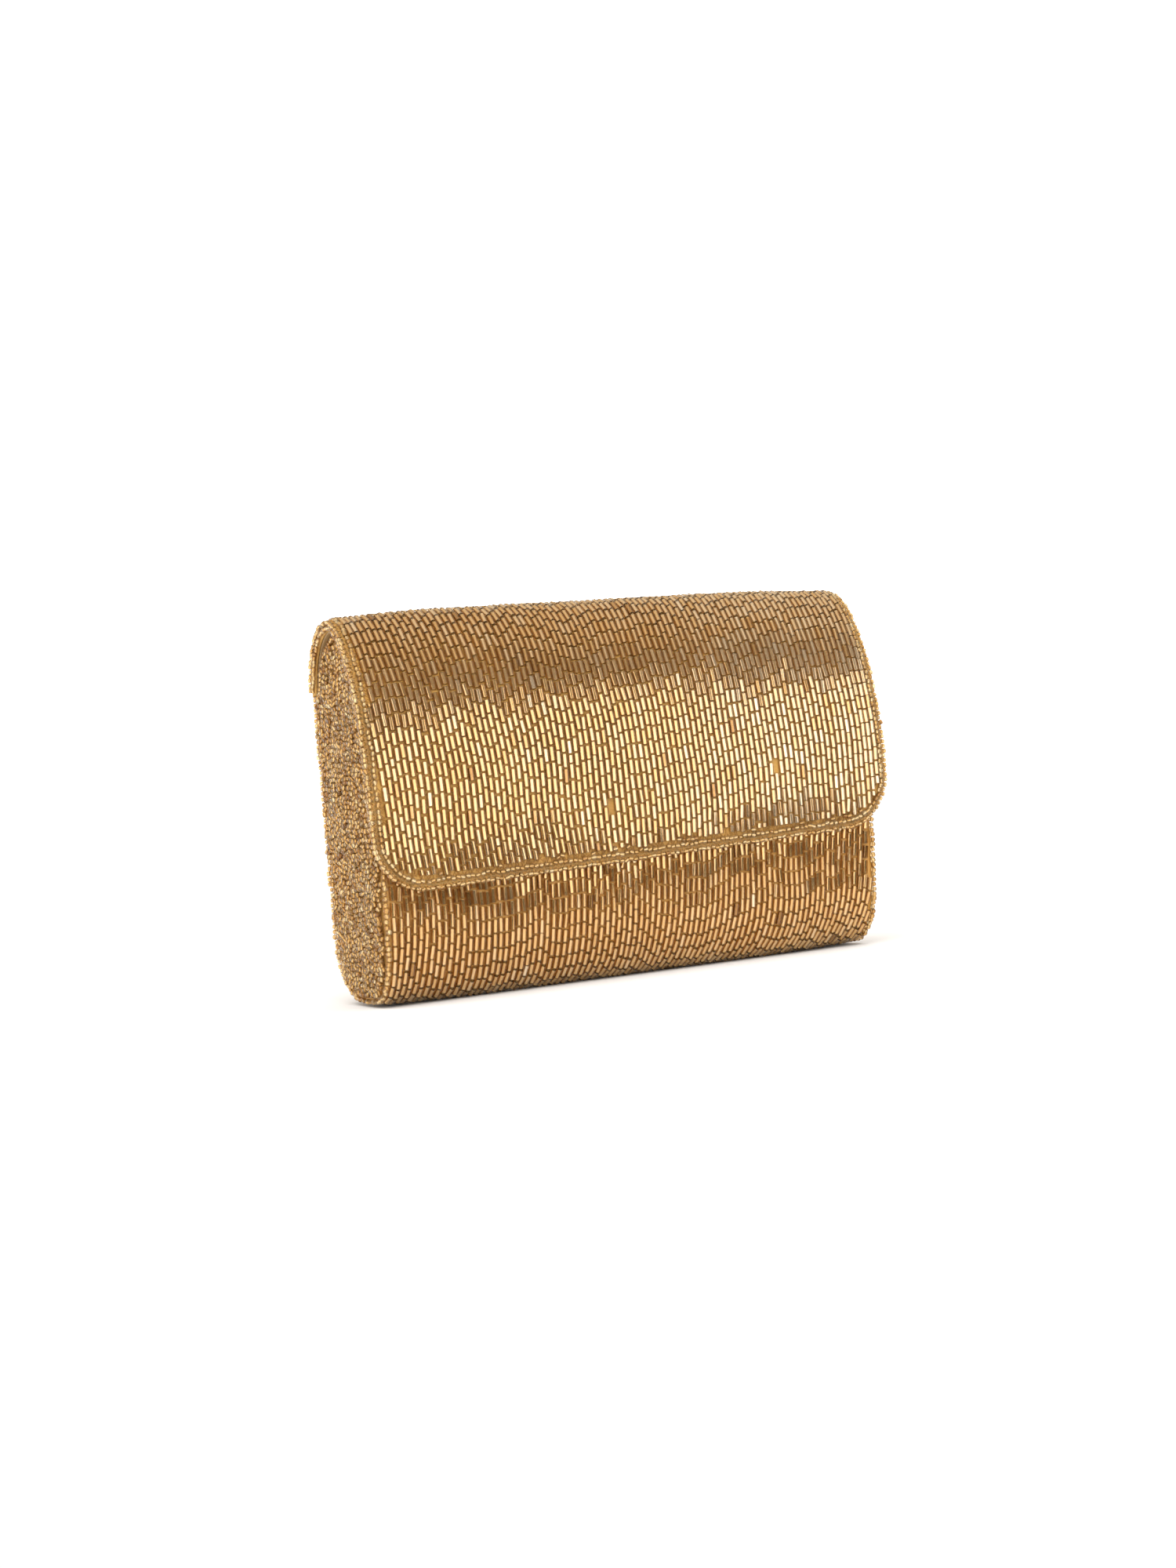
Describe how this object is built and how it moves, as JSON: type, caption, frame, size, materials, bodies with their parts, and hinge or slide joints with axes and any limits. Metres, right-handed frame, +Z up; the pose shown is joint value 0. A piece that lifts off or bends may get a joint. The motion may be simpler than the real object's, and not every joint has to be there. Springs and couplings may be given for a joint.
{
  "type": "evening bag",
  "caption": "Barrel-shaped beaded evening clutch with a rounded base, flat seed-beaded ends and one curved front flap that closes over a magnetic snap.",
  "frame": {"origin": "on the surface the bag stands on, under the middle of its bounding box", "axes": "+Z up, +X along the bag's width, -Y towards the flap's front face"},
  "size_m": [0.193, 0.052, 0.127],
  "materials": {
    "bugle_glass": "glossy silver-lined gold",
    "seed_glass": "glossy silver-lined gold",
    "cover_fabric": "matte close weave",
    "binding_tape": "ribbed tape",
    "satin_lining": "satin",
    "stiff_board": "matte",
    "gilt_metal": "polished",
    "steel": "plain",
    "magnet": "matte"
  },
  "bodies": {
    "bag_body": {"front_beadwork": "bugle_glass", "base_beadwork": "bugle_glass", "back_beadwork": "bugle_glass", "gusset_beadwork_left": "seed_glass", "gusset_beadwork_right": "seed_glass", "seam_beads_left": "seed_glass", "seam_beads_right": "seed_glass", "mouth_binding": "binding_tape", "gusset_binding_left": "binding_tape", "gusset_binding_right": "binding_tape", "front_facing": "satin_lining", "lining_front": "satin_lining", "lining_base": "satin_lining", "lining_back": "satin_lining", "lining_gusset_left": "satin_lining", "lining_gusset_right": "satin_lining", "slip_pocket": "satin_lining", "front_board": "stiff_board", "base_board": "stiff_board", "back_board": "stiff_board", "gusset_board_left": "stiff_board", "gusset_board_right": "stiff_board", "snap_socket_cap": "gilt_metal", "snap_socket_plate": "steel", "snap_socket_washer": "steel", "snap_magnet": "magnet"},
    "flap": {"flap_board": "stiff_board", "flap_cover": "cover_fabric", "flap_beadwork": "bugle_glass", "flap_edge_beads_outer": "seed_glass", "flap_edge_beads_inner": "seed_glass", "flap_lining": "satin_lining", "hinge_tape": "binding_tape", "snap_stud": "gilt_metal", "snap_stud_washer": "steel"}
  },
  "joints": [
    {"name": "flap_hinge", "type": "hinge", "parent": "bag_body", "child": "flap", "pos_m": [0, 0.0259, 0.104], "axis": [-1, 0, 0], "range_deg": [0, 150]}
  ]
}
